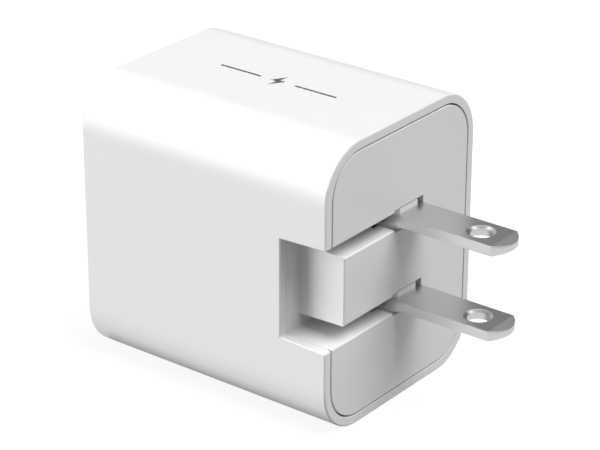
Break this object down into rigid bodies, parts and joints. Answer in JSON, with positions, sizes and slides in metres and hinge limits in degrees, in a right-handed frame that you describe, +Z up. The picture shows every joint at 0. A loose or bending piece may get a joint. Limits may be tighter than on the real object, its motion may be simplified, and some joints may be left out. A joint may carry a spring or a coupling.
{
  "type": "usb wall charger",
  "caption": "Compact white wall charger with rounded corners, flat blades that fold into slots beside a finger notch, and USB ports on the far face.",
  "frame": {"origin": "midway between the two blades, on the face that meets the outlet", "axes": "+Y leaves the outlet face along the extended blades, +X points at the side with the finger notch, +Z is up as the charger stands"},
  "size_m": [0.0344, 0.0601, 0.0426],
  "materials": {
    "shell_plastic": "satin",
    "plate_plastic": "fine texture",
    "hub_plastic": "gloss",
    "blade_metal": "satin",
    "spring_steel": "satin",
    "can_metal": "satin",
    "contact_brass": "satin",
    "lead_black": "matte",
    "lead_white": "matte",
    "board_green": "satin",
    "paper_tan": "matte",
    "ferrite": "matte",
    "black_plastic": "fine texture",
    "tape_yellow": "satin",
    "sleeve_black": "gloss",
    "can_aluminium": "satin",
    "fuse_green": "gloss",
    "disc_blue": "gloss",
    "opto_white": "matte"
  },
  "bodies": {
    "housing": {"outer_shell": "shell_plastic", "back_plate": "plate_plastic", "carrier_cover": "plate_plastic", "cover_screws": "spring_steel", "detent_spring": "spring_steel", "contact_upper": "contact_brass", "contact_lower": "contact_brass", "line_lead": "lead_black", "neutral_lead": "lead_white", "main_board": "board_green", "port_board": "board_green", "insulation_sheet": "paper_tan", "transformer_core": "ferrite", "transformer_bobbin": "black_plastic", "transformer_winding": "tape_yellow", "input_capacitors": "sleeve_black", "output_capacitors": "can_aluminium", "filter_choke": "ferrite", "line_fuse": "fuse_green", "y_capacitor": "disc_blue", "bridge_rectifier": "black_plastic", "controller_chip": "black_plastic", "optocoupler": "opto_white", "usb_can_a": "can_metal", "usb_can_b": "can_metal", "usb_tongue_a": "black_plastic", "usb_tongue_b": "black_plastic", "usb_contacts_a": "contact_brass", "usb_contacts_b": "contact_brass"},
    "prongs": {"prong_carrier": "hub_plastic", "prong_upper": "blade_metal", "prong_lower": "blade_metal"}
  },
  "joints": [
    {"name": "prong_fold", "type": "hinge", "parent": "housing", "child": "prongs", "pos_m": [-0.0011, -0.0027, 0], "axis": [0, 0, -1], "range_deg": [0, 90]}
  ]
}
